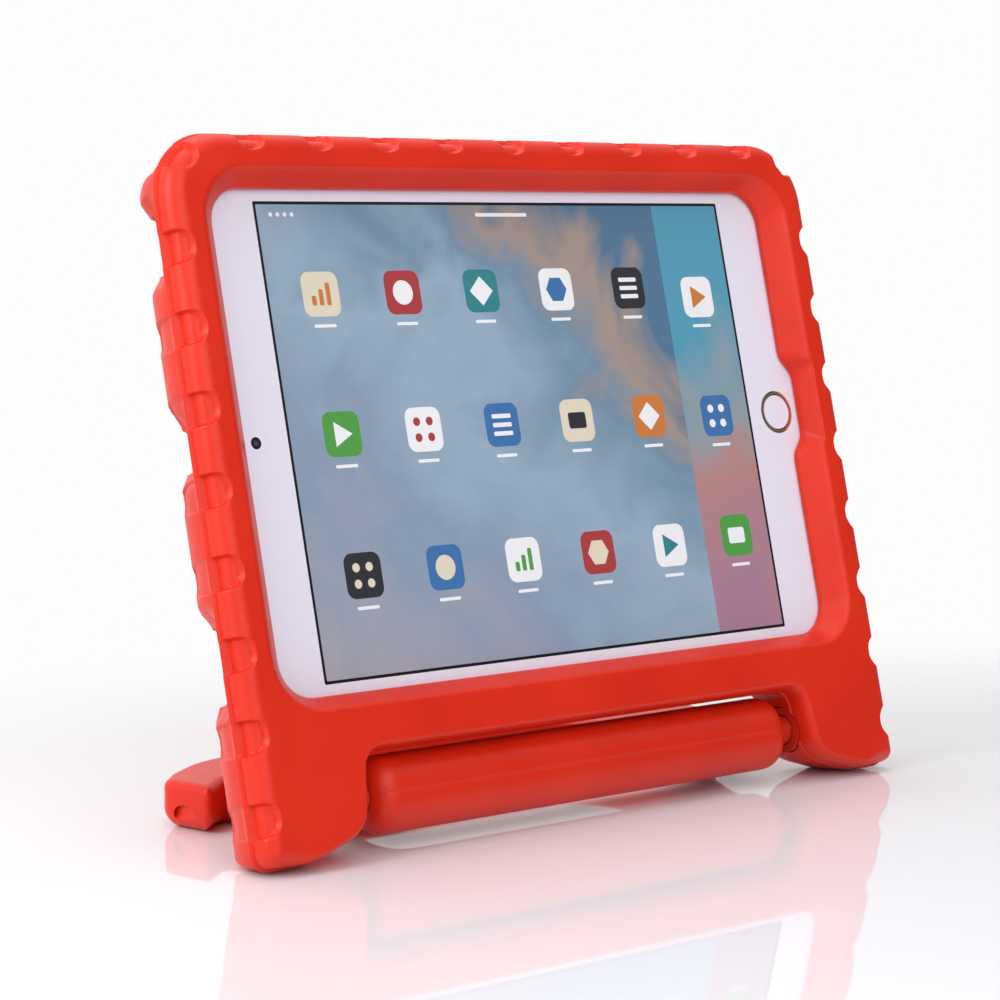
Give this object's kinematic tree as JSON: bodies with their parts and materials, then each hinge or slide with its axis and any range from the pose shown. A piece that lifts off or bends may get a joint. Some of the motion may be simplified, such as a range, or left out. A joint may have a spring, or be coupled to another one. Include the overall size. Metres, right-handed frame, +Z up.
{
  "type": "kids tablet case with handle",
  "caption": "Chunky foam tablet case with a swinging loop handle that folds back as a stand, holding a white-fronted tablet with a home button.",
  "frame": {"origin": "on the table, under the middle of the bounding box of the case standing on its feet and handle", "axes": "+Z up, +X along the long side of the screen to the viewer's right, the screen faces -Y and leans back"},
  "size_m": [0.222, 0.0952, 0.1776],
  "materials": {
    "red_foam": "moulded EVA foam, satin skin with a fine grain",
    "red_plastic": "moulded, satin",
    "anodised_aluminium": "bead blasted and anodised",
    "cover_glass": "polished, white printed border on the back",
    "display": "lit panel",
    "white_button": "polished",
    "ring_metal": "polished, pale gold",
    "dark_plastic": "moulded",
    "lens_glass": "polished",
    "cell_foil": "foil pouch",
    "circuit_board": "solder mask",
    "port_metal": "stamped shell"
  },
  "bodies": {
    "case": {"case_body": "red_foam", "tablet_back_shell": "anodised_aluminium", "cover_glass": "cover_glass", "display_panel": "display", "home_button_ring": "ring_metal", "home_button_switch": "dark_plastic", "front_camera": "dark_plastic", "rear_camera": "dark_plastic", "rear_camera_lens": "lens_glass", "battery_cell_left": "cell_foil", "battery_cell_right": "cell_foil", "main_board": "circuit_board", "speaker_lower": "dark_plastic", "speaker_upper": "dark_plastic", "charging_port": "port_metal", "headphone_jack": "dark_plastic", "pivot_bush_left": "red_plastic", "pivot_bush_right": "red_plastic"},
    "handle": {"handle": "red_foam", "pivot_pin_left": "red_plastic", "pivot_pin_right": "red_plastic"},
    "home_button": {"home_button": "white_button"},
    "power_button": {"power_button": "anodised_aluminium"},
    "volume_up_button": {"volume_up_button": "anodised_aluminium"},
    "volume_down_button": {"volume_down_button": "anodised_aluminium"}
  },
  "joints": [
    {"name": "handle_pivot", "type": "hinge", "parent": "case", "child": "handle", "pos_m": [0, -0.03339, 0.01343], "axis": [1, 0, 0], "range_deg": [-96, 0]},
    {"name": "home_button_press", "type": "slide", "parent": "case", "child": "home_button", "axis": [0, 0.9711, -0.2385], "range_m": [0, 0.00025], "stiffness_N_per_m": 600, "springref_m": -0.0008},
    {"name": "power_button_press", "type": "slide", "parent": "case", "child": "power_button", "axis": [1, 0, 0], "range_m": [0, 0.0003], "stiffness_N_per_m": 600, "springref_m": -0.0008},
    {"name": "volume_up_press", "type": "slide", "parent": "case", "child": "volume_up_button", "axis": [0, -0.2385, -0.9711], "range_m": [0, 0.0003], "stiffness_N_per_m": 600, "springref_m": -0.0008},
    {"name": "volume_down_press", "type": "slide", "parent": "case", "child": "volume_down_button", "axis": [0, -0.2385, -0.9711], "range_m": [0, 0.0003], "stiffness_N_per_m": 600, "springref_m": -0.0008}
  ]
}
